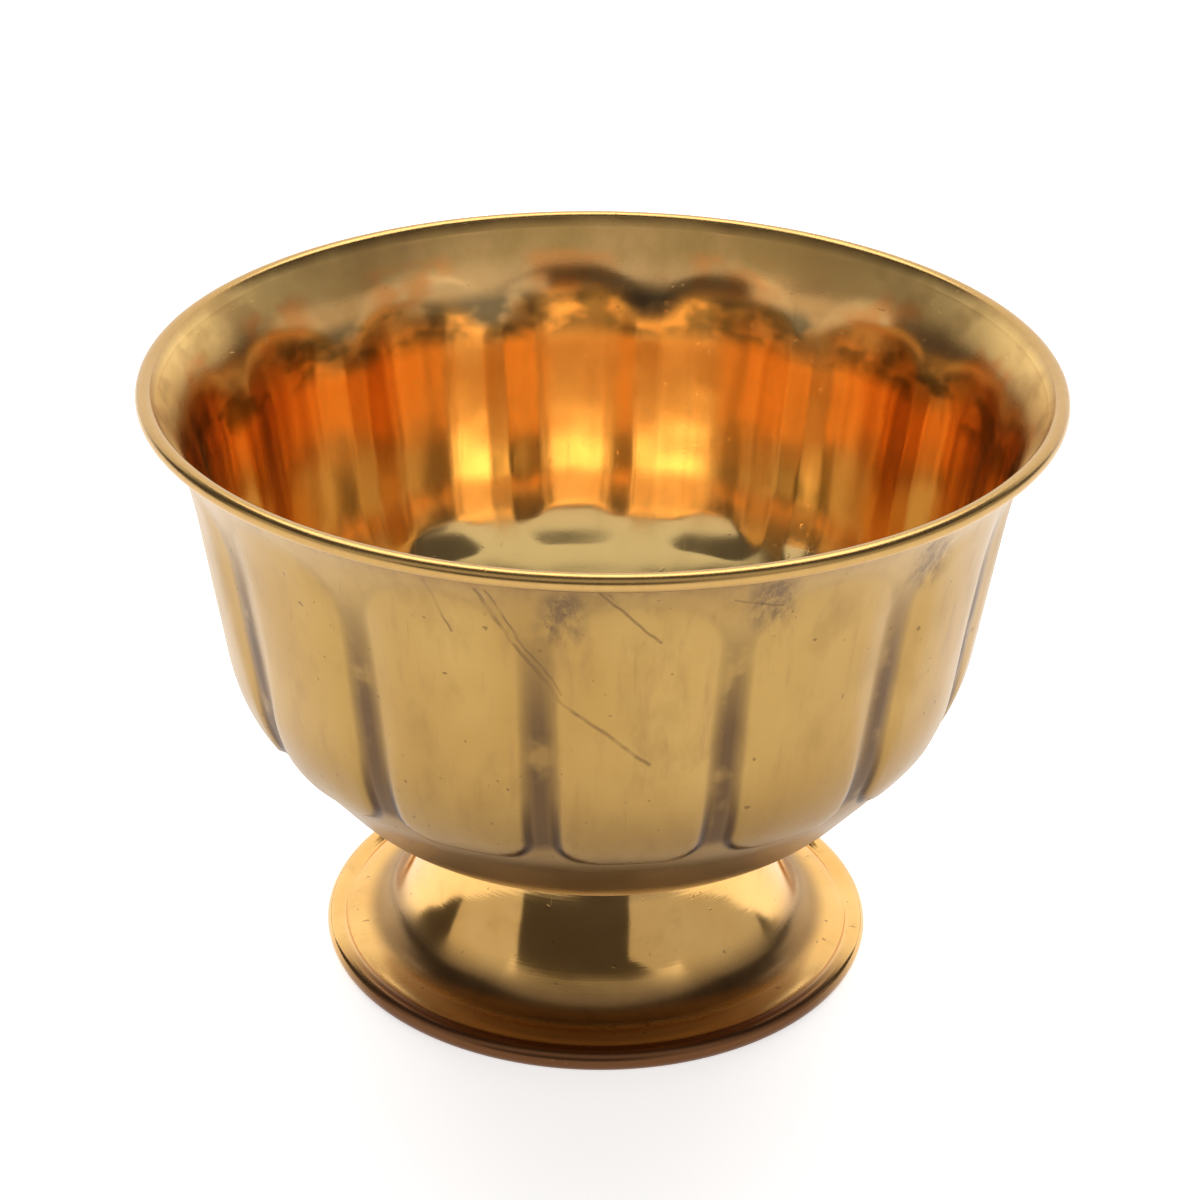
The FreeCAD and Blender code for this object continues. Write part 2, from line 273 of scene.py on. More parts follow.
# %% Named inputs of the spinning tree
SPIN_INPUTS = [
    ("Section", "Geometry", None), ("Lobes", "Int", 14), ("Columns per lobe", "Int", 26),
    ("First lobe", "Float", 0.0), ("Groove width", "Float", 0.0026), ("Step", "Float", 0.0),
    ("Crown", "Float", 0.0), ("Step width", "Float", 0.001), ("Corner", "Float", 0.004),
    ("Lobe foot", "Float", 0.03), ("Lobe head", "Float", 0.06), ("Waviness", "Float", 0.0),
    ("Wave size", "Float", 0.014), ("Seed", "Float", 0.0), ("Ribbing", "Float", 0.0),
    ("Unevenness", "Float", 0.0), ("Material", "Material", None),
]


def make_inputs(group):
    """Add the inputs. A modifier sets each by the identifier that this returns."""
    keys = {}
    for name, kind, value in SPIN_INPUTS:
        socket = group.interface.new_socket(name, in_out="INPUT", socket_type="NodeSocket" + kind)
        if value is not None:
            socket.default_value = value
        keys[name] = socket.identifier
    return keys


# %% [markdown]
# ## The spinner
# The spinner is the tree with the steps of the work as methods: read the section, set the
# columns round the axis, press the lobes, add what the hand leaves uneven, and bend the
# grid. A lobe's outline is a bar with a rounded end, and the tree works with each point's
# distance from it, so one ramp on that distance is the whole shoulder.

# %% The spinner: reading the section and setting the columns
CROWDING = 0.62  # 0 spaces the columns evenly; 1 would let them meet at the grooves


class Spinner(Tree):
    """The spinning tree. It reads the section row by row and bends a grid of its rows."""

    def __init__(self, group):
        super().__init__(group)
        start = group.nodes.new("NodeGroupInput")
        self.given = {socket.name: Out(self, socket) for socket in start.outputs if socket.name}
        given = self.given
        count = self.add("GeometryNodeAttributeDomainSize", {"component": "MESH"},
                         {0: given["Section"]})
        columns = given["Lobes"] * given["Columns per lobe"]
        self.grid = self.add("GeometryNodeMeshGrid", {},
                             {"Vertices X": columns + 1, "Vertices Y": count})
        index = self.add("GeometryNodeInputIndex")
        self.row = index % count
        self.column = self.math("FLOOR", (index + 0.5) / count)

    def read(self, kind, value):
        """A value of the section, taken at this point's row."""
        return self.add("GeometryNodeSampleIndex", {"data_type": kind},
                        {0: self.given["Section"], 1: value, 2: self.row})

    def stored(self, name, kind="FLOAT"):
        """What the section stores under a name, taken at this point's row."""
        settings = {"data_type": kind}
        return self.read(kind, self.add("GeometryNodeInputNamedAttribute", settings, {0: name}))

    def noise(self, where, seed, scale, detail, roughness=0.5):
        """Noise from 0 to 1 at a place."""
        inputs = {"Vector": where, "W": seed, "Scale": scale, "Detail": detail,
                  "Roughness": roughness}
        return self.add("ShaderNodeTexNoise", {"noise_dimensions": "4D"}, inputs)

    def read_section(self):
        """Everything that the section says at this point's row."""
        position = self.add("GeometryNodeInputPosition")
        self.radius, _, self.height = self.xyz(self.read("FLOAT_VECTOR", position))
        self.ray_out, _, self.ray_up = self.xyz(self.stored("ray", "FLOAT_VECTOR"))
        self.along, self.pressed = self.stored("along"), self.stored("pressed")
        self.blur, self.inner = self.stored("blur"), self.stored("inner")

    def set_columns(self):
        """The direction of each column, and how far it is from the middle of its lobe."""
        given = self.given
        turn = self.column / given["Columns per lobe"]
        which = self.math("FLOOR", turn + 0.0001)
        part = turn - which
        part = part - self.math("SINE", part * math.tau) * (CROWDING / math.tau)
        pitch = math.tau / given["Lobes"]
        angle = (which + part - 0.5) * pitch + given["First lobe"]
        circle = self.vector(self.math("COSINE", angle), self.math("SINE", angle), 0.0)
        wander = self.noise(circle, given["Seed"], scale=2.2, detail=0.0)
        angle = angle + (wander - 0.5) * given["Unevenness"]
        self.east, self.north = self.math("COSINE", angle), self.math("SINE", angle)
        self.across = self.math("ABSOLUTE", (part - 0.5) * pitch * self.radius)
        self.half = self.radius * pitch * 0.5 - given["Groove width"] * 0.5


# %% The spinner: pressing and bending
HEAD_ROUNDNESS = 0.92  # corner of a lobe's upper end, as a share of its half width
HEAD_FADE = 0.011  # the lobe gets shallower over this length below its head, in metres
HEAD_DEPTH = 0.35  # the share of its depth that is left at the head
RIBS_ROUND, RIBS_UP = 9.0, 22.0  # in noise steps: the radius of the wall, and a metre up


class Press(Spinner):
    """The spinner with the press that makes lobes."""

    def round_bar(self, corner, beyond):
        """Distance outside a bar with rounded corners; beyond is the distance past its end."""
        over_side = self.across - (self.half - corner)
        over_end = beyond + corner
        far = self.math("SQRT", self.math("MAXIMUM", over_side, 0.0) ** 2.0
                        + self.math("MAXIMUM", over_end, 0.0) ** 2.0)
        near = self.math("MINIMUM", self.math("MAXIMUM", over_side, over_end), 0.0)
        return far + near - corner

    def press_lobes(self):
        """How far the press moves the sheet: the step at the outline and the crown.

        in_lobe is the distance inside the outline, less than zero in a groove.
        """
        given = self.given
        foot = self.round_bar(given["Corner"], given["Lobe foot"] - self.along)
        head = self.round_bar(self.half * HEAD_ROUNDNESS, self.along - given["Lobe head"])
        self.in_lobe = -self.math("MAXIMUM", foot, head)
        self.fade = self.ramp(given["Lobe head"] - self.along, 0.0, HEAD_FADE, HEAD_DEPTH, 1.0)
        step = self.ramp(self.in_lobe, 0.0, given["Step width"] * self.blur)
        dome = 1.0 - (1.0 - self.clamp01(self.in_lobe / self.half)) ** 2.0
        return (step * given["Step"] + dome * given["Crown"]) * self.fade * self.pressed

    def leave_uneven(self):
        """Low waves everywhere, and faint upright ribs on the wall only, as ribs would
        tear the sheet open at the pole."""
        given = self.given
        spot = self.vector(self.east * self.radius, self.north * self.radius, self.height)
        waves = self.noise(spot, given["Seed"], 1.0 / given["Wave size"], 1.5, 0.45)
        rib_spot = self.vector(self.east * RIBS_ROUND, self.north * RIBS_ROUND,
                               self.height * RIBS_UP)
        ribs = self.noise(rib_spot, given["Seed"] + 5.0, scale=1.0, detail=1.0)
        wall = self.ramp(self.along, given["Lobe foot"] * 0.6, given["Lobe foot"])
        waves = (waves - 0.5) * given["Waviness"] * self.pressed
        return waves + (ribs - 0.5) * given["Ribbing"] * self.pressed * self.fade * wall

    def bend(self, lift):
        """The grid round the axis, each point lifted along its outward direction."""
        reach = self.radius + self.ray_out * lift
        shape = self.vector(self.east * reach, self.north * reach, self.height + self.ray_up * lift)
        return self.add("GeometryNodeSetPosition", {}, {"Geometry": self.grid, "Position": shape})


# %% Build the spinning tree
def spinning_tree():
    """Section in, spun and fluted sheet out."""
    group = bpy.data.node_groups.new("spin the section", "GeometryNodeTree")
    keys = make_inputs(group)
    group.interface.new_socket("Spun", in_out="OUTPUT", socket_type="NodeSocketGeometry")
    t = Press(group)
    t.read_section()
    t.set_columns()
    geometry = t.bend(t.press_lobes() + t.leave_uneven())

    # The finishes read these: place across the lobe, depth inside its outline, inner face.
    beside = t.math("MINIMUM", t.across / t.half, 1.0)
    for name, value in [("beside", beside), ("edge", t.in_lobe), ("inner", t.inner)]:
        geometry = t.add("GeometryNodeStoreNamedAttribute", {"data_type": "FLOAT"},
                         {"Geometry": geometry, "Name": name, "Value": value})

    # The last column lands on the first, and all columns meet at the pole.
    geometry = t.add("GeometryNodeMergeByDistance", {}, {"Geometry": geometry, "Distance": 1e-6})
    geometry = t.add("GeometryNodeSetShadeSmooth", {}, {0: geometry})
    geometry = t.add("GeometryNodeRealizeInstances", {}, {0: geometry})
    geometry = t.add("GeometryNodeSetMaterial", {},
                     {"Geometry": geometry, "Material": t.given["Material"]})
    finish = group.nodes.new("NodeGroupOutput")
    group.links.new(geometry.socket, finish.inputs[0])
    return group, keys


spin_group, spin_keys = spinning_tree()
print("spinning tree:", len(spin_group.nodes), "nodes")

# %% [markdown]
# ## From the section to a piece
# The section goes to the tree as a line of points with attributes. A modifier runs the tree,
# and the result is kept as a plain mesh, because the export takes meshes. A positive volume
# tells that the faces point outwards.

# %% Put an object in the scene
def show(name, data):
    """An object that shows this mesh, lamp or camera."""
    piece = bpy.data.objects.new(name, data)
    bpy.context.scene.collection.objects.link(piece)
    return piece


# %% The section as a line of points
def section_object(name, rows):
    """A line of points in the XZ plane, with what the tree reads from each."""
    mesh = bpy.data.meshes.new(name)
    points = [(place.x * MM, 0.0, place.y * MM) for place, *rest in rows]
    mesh.from_pydata(points, [(k, k + 1) for k in range(len(rows) - 1)], [])
    for key, kind, values in [
        ("ray", "FLOAT_VECTOR", [c for row in rows for c in (row[1].x, 0.0, row[1].y)]),
        ("along", "FLOAT", [row[2] * MM for row in rows]),
        ("pressed", "FLOAT", [row[3] for row in rows]),
        ("blur", "FLOAT", [row[4] for row in rows]),
        ("inner", "FLOAT", [row[5] for row in rows]),
    ]:
        attribute = mesh.attributes.new(key, kind, "POINT")
        attribute.data.foreach_set("vector" if kind == "FLOAT_VECTOR" else "value", values)
    return show(name, mesh)


# %% Turn a section into a finished piece
def signed_volume(mesh):
    """Positive when the faces point outwards."""
    mesh.calc_loop_triangles()
    total = 0.0
    for triangle in mesh.loop_triangles:
        a, b, c = (mesh.vertices[k].co for k in triangle.vertices)
        total += a.dot(b.cross(c)) / 6.0
    return total


def spin(name, rows, material, **sizes):
    """Run the tree on a section and keep the result as a plain mesh."""
    source = section_object(name + "_section", rows)
    modifier = source.modifiers.new("spin", "NODES")
    modifier.node_group = spin_group
    modifier[spin_keys["Material"]] = material
    for key, value in sizes.items():
        modifier[spin_keys[key.replace("_", " ")]] = value
    evaluated = source.evaluated_get(bpy.context.evaluated_depsgraph_get())
    mesh = bpy.data.meshes.new_from_object(evaluated)
    source.modifiers.remove(modifier)
    bpy.data.objects.remove(source)
    mesh.name = name
    if signed_volume(mesh) < 0:
        mesh.flip_normals()
    volume = abs(signed_volume(mesh)) / MM ** 3
    print(name, "-", len(mesh.loop_triangles), "triangles,", round(volume), "mm3")
    return show(name, mesh)


# %% [markdown]
# ## Tools for the finishes
# Every finish is one metal shader. Its colour, roughness and bump are mixed from noise in
# the piece's own coordinates, from its height and radius, and from what the mesh stores.
# Sizes of blotches, streaks and scratches are given in millimetres.

# %% A finish: one metal shader and what feeds it
class Finish(Tree):
    """A material whose tree ends in one metal shader."""

    def __init__(self, name):
        self.material = bpy.data.materials.new(name)
        self.material.use_nodes = True
        super().__init__(self.material.node_tree)
        self.shader = self.tree.nodes["Principled BSDF"]
        self.shader.inputs["Metallic"].default_value = 1.0
        self.place = self.add("ShaderNodeTexCoord", out="Object")
        self.x, self.y, self.z = self.xyz(self.place)

    def attribute(self, name):
        """A number that the mesh carries at each of its points."""
        settings = {"attribute_type": "GEOMETRY", "attribute_name": name}
        return self.add("ShaderNodeAttribute", settings, out="Fac")

    def mix(self, share, one, other):
        """Blend two colours; each is a triple or the result of another mix."""
        inputs = {0: share}
        for key, value in ((6, one), (7, other)):
            inputs[key] = value if isinstance(value, Out) else (*value, 1.0)
        return self.add("ShaderNodeMix", {"data_type": "RGBA"}, inputs, out=2)

    def between(self, value, low, high, give_low=0.0, give_high=1.0):
        """A ramp on a length: low and high are in millimetres."""
        return self.ramp(value, low * MM, high * MM, give_low, give_high)

    def finish(self, colour, roughness, height, depth):
        """Wire the results to the shader; depth is that of the bump, in millimetres."""
        bump = self.add("ShaderNodeBump", {}, {"Strength": 1.0, "Distance": depth * MM,
                                               "Height": height})
        for key, value in (("Base Color", colour), ("Roughness", roughness), ("Normal", bump)):
            self.tree.links.new(value.socket, self.shader.inputs[key])
        return self.material


# %% Noise, scratches and strokes
STROKE_WOBBLE = 1.0  # how far a hand-made stroke strays from its line, in millimetres


class Worn(Finish):
    """A finish that shows clouds, streaks and marks of use."""

    def noise(self, sizes, detail=3.0, roughness=0.5, seed=0.0, turn=(0, 0, 0)):
        """Noise from 0 to 1 with blotches of about the given sizes."""
        scale = tuple(1.0 / (size * MM) for size in sizes)
        rotation = tuple(math.radians(a) for a in turn)
        stretched = self.add("ShaderNodeMapping", {"vector_type": "POINT"},
                             {"Vector": self.place, "Rotation": rotation, "Scale": scale})
        inputs = {"Vector": stretched, "W": seed, "Scale": 1.0, "Detail": detail,
                  "Roughness": roughness}
        return self.add("ShaderNodeTexNoise", {"noise_dimensions": "4D"}, inputs)

    def scratches(self, length, width, share, turn, seed):
        """Fine straight scratches that lie one way; share is how many there are."""
        lines = self.noise((width, length, length), 1.0, 0.4, seed, turn)
        return self.ramp(lines, 0.78 - share, 0.82 - share)

    def stroke(self, points, width):
        """One mark on the front, through points (x, z) in millimetres."""
        wobble = (self.noise((4, 4, 4), 2.0, 0.5, 4.0) - 0.5) * (STROKE_WOBBLE * MM)
        x, z = self.x + wobble, self.z + wobble * 0.6
        nearest = None
        for (ax, az), (bx, bz) in zip(points, points[1:]):
            dx, dz = (bx - ax) * MM, (bz - az) * MM
            from_x, from_z = x - ax * MM, z - az * MM
            share = self.clamp01((from_x * dx + from_z * dz) / (dx * dx + dz * dz))
            away_x, away_z = from_x - share * dx, from_z - share * dz
            gap = self.math("SQRT", away_x * away_x + away_z * away_z)
            nearest = gap if nearest is None else self.math("MINIMUM", nearest, gap)
        front = self.between(self.y, 0.0, -10)
        return self.between(nearest, width, width * 0.25) * front


# %% [markdown]
# ## The bowl's finish
# Old brass that is handled and wiped has a pale gold skin where the polish reaches and a
# brown one along the grooves, which painted shade deepens lower down. Painted shade also
# darkens the lower wall, the sides, the lobes' outlines, the band under the lobes and the
# bottom, and a painted shadow lies under the bead. The finish reads how far each point is
# from a lobe's outline, which the spinning tree stored on the mesh. The inside is cleaner
# metal, so that light passing from wall to wall turns orange.

# %% What the bowl's finish starts from
class BowlBrass(Worn):
    """Brass of the bowl, with the clouds and places that all its layers share."""

    def __init__(self):
        super().__init__("satin_brass")
        self.inner = self.attribute("inner")
        self.edge = self.attribute("edge")
        self.aside = self.attribute("beside")
        self.broad = self.noise((17, 17, 26), 3.0, 0.55, 1.0)
        self.cloudy = self.noise((5, 5, 9), 4.0, 0.6, 2.0)
        self.streaks = self.noise((1.6, 1.6, 22), 3.0, 0.6, 3.0)
        self.far_aside = self.math("ABSOLUTE", self.x)


# %% The outside: gold skin, with painted shade low down and towards the sides
PALE_GOLD, GREEN_GOLD = (0.485, 0.305, 0.098), (0.43, 0.255, 0.075)
CLOUD, STREAK = (0.33, 0.195, 0.060), (0.32, 0.175, 0.065)
LOW_PAINTED_SHADE, SIDE_PAINTED_SHADE = (0.25, 0.14, 0.047), (0.33, 0.20, 0.062)


def gold_skin(f):
    """Pale gold, greener and browner in clouds and in upright streaks, with painted shade low down and
    towards the sides.
    """
    colour = f.mix(f.ramp(f.broad, 0.35, 0.65), PALE_GOLD, GREEN_GOLD)
    colour = f.mix(f.ramp(f.cloudy, 0.48, 0.72) * 0.55, colour, CLOUD)
    colour = f.mix(f.ramp(f.streaks, 0.5, 0.8) * 0.55, colour, STREAK)
    # Painted shade: darker low on the wall and towards the sides.
    shade = f.between(f.z, 45, 33) * f.ramp(f.broad, 0.2, 0.6, 0.6, 1.0)
    colour = f.mix(shade * 0.6, colour, LOW_PAINTED_SHADE)
    return f.mix(f.between(f.far_aside, 12, 24) * 0.3, colour, SIDE_PAINTED_SHADE)


# %% The outside: brown in the grooves, and painted shade in creases, low down and under the bead
GROOVE_TARNISH_AND_SHADE, CREASE_PAINTED_SHADE = (0.12, 0.068, 0.036), (0.075, 0.04, 0.022)
UNDER_PAINTED_SHADE, BOTTOM_PAINTED_SHADE, COLLAR_PAINTED_SHADOW = (0.33, 0.195, 0.072), (0.19, 0.10, 0.038), (0.25, 0.13, 0.05)


def groove_tarnish_and_shade(f):
    """Patchy brown along the grooves, partly tarnish and partly painted shade that deepens down the
    wall, and how far down the wall a point is, from 0 to 1.
    """
    # Painted shade: the brown of grooves and creases grows towards the bottom of the wall.
    low = f.between(f.z, 65, 46, 0.25, 1.0)
    groove = f.between(f.edge, 0.9, -1.0) * f.between(f.z, 29.0, 31.5, 0.35, 1.0)
    patchy = f.ramp(f.noise((7, 7, 6), 3.0, 0.6, 7.0), 0.3, 0.5, 0.45, 1.0)
    groove = groove * low * patchy * f.between(f.z, 64, 58)
    return groove * f.between(f.z, 31.8, 33.6, 0.2, 1.0), low


def crease_painted_shade(f, low):
    """Painted shade: a dark line along a lobe's outline, darkest at its lower corners."""
    line = f.between(f.math("ABSOLUTE", f.edge - 0.1 * MM), 0.85, 0.15) * low
    return line * f.between(f.z, 42, 34, 0.3, 1.0) * f.ramp(f.aside, 0.2, 0.75, 0.45, 1.0)


def browned_and_shaded(f, colour, groove, low):
    """The skin with the brown of the grooves, and the painted shade of creases, underside, bottom and
    collar.
    """
    colour = f.mix(groove * 0.92, colour, GROOVE_TARNISH_AND_SHADE)
    # Painted shade along the lobes' outlines.
    colour = f.mix(crease_painted_shade(f, low) * 0.9, colour, CREASE_PAINTED_SHADE)
    # Painted shade: the band under the lobes and the bottom of the bowl are darkened.
    under = f.between(f.z, 32.5, 29.5) * f.ramp(f.cloudy, 0.3, 0.7, 0.75, 1.0)
    colour = f.mix(under * 0.7, colour, UNDER_PAINTED_SHADE)
    colour = f.mix(f.between(f.z, 28, 24) * 0.6, colour, BOTTOM_PAINTED_SHADE)
    # Painted shadow: a streaky dark band just under the bead.
    collar = f.between(f.z, 65.8, 67.8) * f.ramp(f.streaks, 0.4, 0.6, 0.3, 1.0)
    return f.mix(collar * 0.45, colour, COLLAR_PAINTED_SHADOW)


# %% [markdown]
# ## Marks of use, and painted shade at the groove tops
# One long scratch runs down across the front with a lighter one beside it, and there are
# short ones. Three soft dark patches under the lip, at the tops of grooves, are painted
# shade. These are single marks, so each is a stroke with its own points. The fine scratches
# and specks that are everywhere are noise.

# %% Painted shade at the groove tops, and scratches of the bowl
GROOVE_TOP_SHADE, WORN_BROWN = (0.13, 0.08, 0.05), (0.17, 0.095, 0.04)
GROOVE_TOP_SHADE_SPOTS = [(-3.8, 63.2, 3.2), (16.6, 63.9, 3.4), (32.9, 63.0, 3.0)]  # x, z, radius
GROOVE_TOP_SHADE_RISE = 1.6
CUTS = [
    ([(-11.9, 66.4), (-9.1, 60.3), (-3.8, 52.7), (1.2, 48.6), (5.2, 45.3)], 0.32),
    ([(-10.9, 66.4), (-8.0, 60.0), (-3.6, 53.5)], 0.22),
    ([(0.0, 67.0), (2.9, 63.2), (5.9, 60.2)], 0.25),
    ([(-17.0, 66.6), (-14.4, 60.2)], 0.25),
    ([(13.0, 65.0), (17.6, 63.2)], 0.2),
]


def groove_top_shading(f):
    """Painted shade: soft dark places at the tops of three grooves, below the lip."""
    marks = [f.stroke([(x, z - GROOVE_TOP_SHADE_RISE), (x + 0.2, z + GROOVE_TOP_SHADE_RISE)], radius)
             for x, z, radius in GROOVE_TOP_SHADE_SPOTS]
    return f.largest(*marks) * f.ramp(f.noise((1.8, 1.8, 7), 4.0, 0.7, 9.0), 0.34, 0.62)


def cuts_of_use(f):
    """The scratches that can be told apart; each fades in and out along its line."""
    cuts = f.largest(*[f.stroke(points, width) for points, width in CUTS])
    return cuts * f.ramp(f.noise((3, 3, 3), 2.0, 0.5, 10.0), 0.35, 0.6, 0.3, 0.9)


def fine_scratches(f):
    """Two families of hair scratches that cross."""
    rising = f.scratches(13, 0.16, 0.04, (0, 32, 10), 11.0)
    falling = f.scratches(9, 0.14, 0.02, (0, -24, 50), 12.0)
    return f.clamp01(rising + falling)


# %% [markdown]
# ## The inside
# Inside, the metal is clean and smooth, and most of what it shows is the opposite wall. The
# lip is duller and mottled, with a painted highlight towards its left and right. A painted
# dark reflection runs in a row under the heads of the lobes. The heads get a painted
# red-orange reflection, which helps the orange image of the opposite wall that lies there.

# %% The inside: clean metal, dull lip, painted highlights and reflections
CLEAN_BRASS, RED_BRASS = (0.95, 0.59, 0.235), (0.90, 0.50, 0.17)
INNER_CLOUD, INNER_GROOVE = (0.62, 0.33, 0.10), (0.55, 0.30, 0.10)
LIP_DULL, LIP_PAINTED_HIGHLIGHT = (0.62, 0.40, 0.125), (1.0, 0.68, 0.25)
ARCH_PAINTED_REFLECTION, HEAD_PAINTED_REFLECTION, FLOOR_GOLD = (0.24, 0.18, 0.085), (0.92, 0.40, 0.11), (1.0, 0.73, 0.28)


def clean_inside(f, lip):
    """The inside's colour; lip is 1 on the lip and 0 below it."""
    colour = f.mix(f.ramp(f.broad, 0.4, 0.7), CLEAN_BRASS, RED_BRASS)
    colour = f.mix(f.ramp(f.cloudy, 0.5, 0.75) * 0.35, colour, INNER_CLOUD)
    colour = f.mix(f.between(f.edge, 0.6, -0.6) * 0.3, colour, INNER_GROOVE)
    patches = f.noise((6, 6, 4), 2.0, 0.5, 15.0)
    colour = f.mix(lip * f.ramp(f.cloudy, 0.35, 0.6, 0.3, 0.8), colour, LIP_DULL)
    # Painted highlight: the lip is lighter towards its left and right.
    lip_side_highlight = f.between(f.far_aside, 22, 42) * lip
    colour = f.mix(lip_side_highlight * f.ramp(patches, 0.35, 0.55, 0.2, 0.9), colour, LIP_PAINTED_HIGHLIGHT)
    # Painted reflection: a dark olive row under the heads of the lobes.
    arch_dark_reflection = f.between(f.z, 55, 58) * f.between(f.z, 62.5, 60.5)
    colour = f.mix(arch_dark_reflection * f.ramp(patches, 0.4, 0.56) * 0.8, colour, ARCH_PAINTED_REFLECTION)
    # Painted reflection: red-orange on the lobes' heads, where the orange image of the opposite wall
    # lies.
    head_orange_reflection = f.between(f.z, 60.8, 62.6) * f.between(f.z, 67.0, 65.2)
    head_orange_reflection = head_orange_reflection * f.ramp(f.aside, 0.8, 0.4) * f.ramp(patches, 0.62, 0.42)
    colour = f.mix(head_orange_reflection * 0.85, colour, HEAD_PAINTED_REFLECTION)
    return f.mix(f.between(f.z, 37, 31) * 0.75, colour, FLOOR_GOLD)


# %% Satin brass of the bowl
BEAD_GOLD = (0.56, 0.34, 0.115)


def satin_brass():
    """The bowl's finish: skin, tarnish, painted shade and marks outside; clean metal with painted
    reflections and highlights inside.
    """
    f = BowlBrass()
    groove, low = groove_tarnish_and_shade(f)
    groove_top_shade_mask, cuts, fine = groove_top_shading(f), cuts_of_use(f), fine_scratches(f)
    specks = f.ramp(f.noise((0.8, 0.8, 0.8), 0.0, 0.5, 13.0), 0.77, 0.83)
    bead_share = f.between(f.z, 67.9, 68.2) * (1.0 - f.inner)
    lip = f.between(f.z, 63.0, 66.5)

    outside = browned_and_shaded(f, gold_skin(f), groove, low)
    # Painted shade at the tops of three grooves.
    outside = f.mix(groove_top_shade_mask * 0.75, outside, GROOVE_TOP_SHADE)
    outside = f.mix(f.largest(cuts * 0.7, fine * 0.35, specks * 0.7), outside, WORN_BROWN)
    outside = f.mix(bead_share * 0.75, outside, BEAD_GOLD)
    colour = f.mix(f.inner, outside, clean_inside(f, lip))

    rough_out = 0.25 + f.cloudy * 0.12 + groove * 0.16 + groove_top_shade_mask * 0.1 - bead_share * 0.05
    rough_in = 0.12 + f.cloudy * 0.12 + lip * (0.12 + f.cloudy * 0.2)
    roughness = rough_out * (1.0 - f.inner) + rough_in * f.inner
    grain = f.noise((0.35, 0.35, 0.35), 2.0, 0.5, 5.0)
    height = grain * 0.12 + f.streaks * 0.25 - cuts * 1.2 - fine * 0.25 - specks * 0.4
    height = height + f.noise((9, 9, 9), 1.0, 0.5, 16.0) * f.inner * 7.0
    return f.finish(colour, roughness, height, depth=0.03)


bowl_brass = satin_brass()
print(bowl_brass.name, len(bowl_brass.node_tree.nodes), "nodes")

# %% [markdown]
# ## The foot's finish
# The foot is rubbed each time the bowl is set down or picked up, so it is brighter and
# smoother than the bowl. Where the bell turns out into the ledge, painted shade darkens the
# hollow, most in front. The ledge and the rolled edge get painted shade in front, and the
# neck gets a painted shadow under the bowl.
# The mesh has no lobes here, so the finish goes by radius and height.

# %% Polished brass of the foot
POLISHED, DEEP_POLISHED, FOOT_CLOUD = (0.86, 0.52, 0.175), (0.78, 0.44, 0.13), (0.55, 0.30, 0.09)
HOLLOW_PAINTED_SHADE, LEDGE_PAINTED_SHADE, ROLL_PAINTED_SHADE = (0.15, 0.08, 0.034), (0.34, 0.19, 0.072), (0.145, 0.058, 0.026)
NECK_PAINTED_SHADOW, BELL_INSIDE, SPECK_BROWN = (0.30, 0.17, 0.07), (0.36, 0.20, 0.07), (0.25, 0.13, 0.05)


def polished_brass():
    """The foot's finish: bright metal with painted shade in the hollow, on the ledge and rolled edge
    in front, and a painted shadow at the neck.
    """
    f = Worn("polished_brass")
    inner = f.attribute("inner")
    radius = f.math("SQRT", f.x * f.x + f.y * f.y)
    cloudy = f.noise((3.5, 3.5, 3), 4.0, 0.6, 22.0)
    colour = f.mix(f.ramp(f.noise((12, 12, 9), 3.0, 0.5, 21.0), 0.35, 0.7), POLISHED, DEEP_POLISHED)
    colour = f.mix(f.ramp(cloudy, 0.5, 0.8) * 0.4, colour, FOOT_CLOUD)

    # Painted shade, from the hollow outwards and then at the neck.
    front = f.between(f.y, -6, -22)
    # Painted shade in the hollow, stronger towards the front.
    hollow = f.between(radius, 21.4, 23.6) * f.between(radius, 27.4, 25.2)
    hollow = hollow * f.between(f.y, 4, -16, 0.62, 0.93)
    # Painted shade on the ledge and the rolled edge, in front only.
    ledge = f.between(radius, 26.0, 27.0) * front
    roll = f.between(radius, 29.3, 30.0) * front
    # Painted shadow at the neck, under the bowl.
    neck_shadow = f.between(f.z, 13.2, 15.2)
    colour = f.mix(hollow * f.ramp(cloudy, 0.2, 0.7, 1.0, 0.9), colour, HOLLOW_PAINTED_SHADE)
    colour = f.mix(ledge * 0.7, colour, LEDGE_PAINTED_SHADE)
    colour = f.mix(roll * 0.92, colour, ROLL_PAINTED_SHADE)
    colour = f.mix(neck_shadow * 0.6, colour, NECK_PAINTED_SHADOW)
    colour = f.mix(inner * 0.7, colour, BELL_INSIDE)
    specks = f.ramp(f.noise((0.7, 0.7, 0.7), 0.0, 0.5, 24.0), 0.78, 0.84)
    fine = f.scratches(8, 0.12, 0.01, (0, 12, 35), 25.0)
    colour = f.mix(f.clamp01(specks * 0.6 + fine * 0.2), colour, SPECK_BROWN)

    # The lathe leaves faint rings, and years of use leave shallow dents.
    rings = f.noise((60, 60, 0.25), 2.0, 0.5, 23.0)
    dents = f.noise((9, 9, 6), 1.0, 0.5, 26.0)
    roughness = 0.06 + cloudy * 0.07 + hollow * 0.24 + ledge * 0.22 + inner * 0.25
    height = rings * 0.3 + cloudy * 0.6 + dents * 8.0 - fine * 0.3 - specks * 0.4
    return f.finish(colour, roughness, height, depth=0.012)


foot_brass = polished_brass()
print(foot_brass.name, len(foot_brass.node_tree.nodes), "nodes")

# %% [markdown]
# ## The solder's finish
# Solder that was wiped while hot sets with a grey-brown, grainy skin. It is hardly seen, in
# the dark between the two brasses, so a cloud and a grain are enough.

# %% Dull solder
SOLDER_GREY, SOLDER_BROWN = (0.36, 0.29, 0.19), (0.22, 0.15, 0.085)


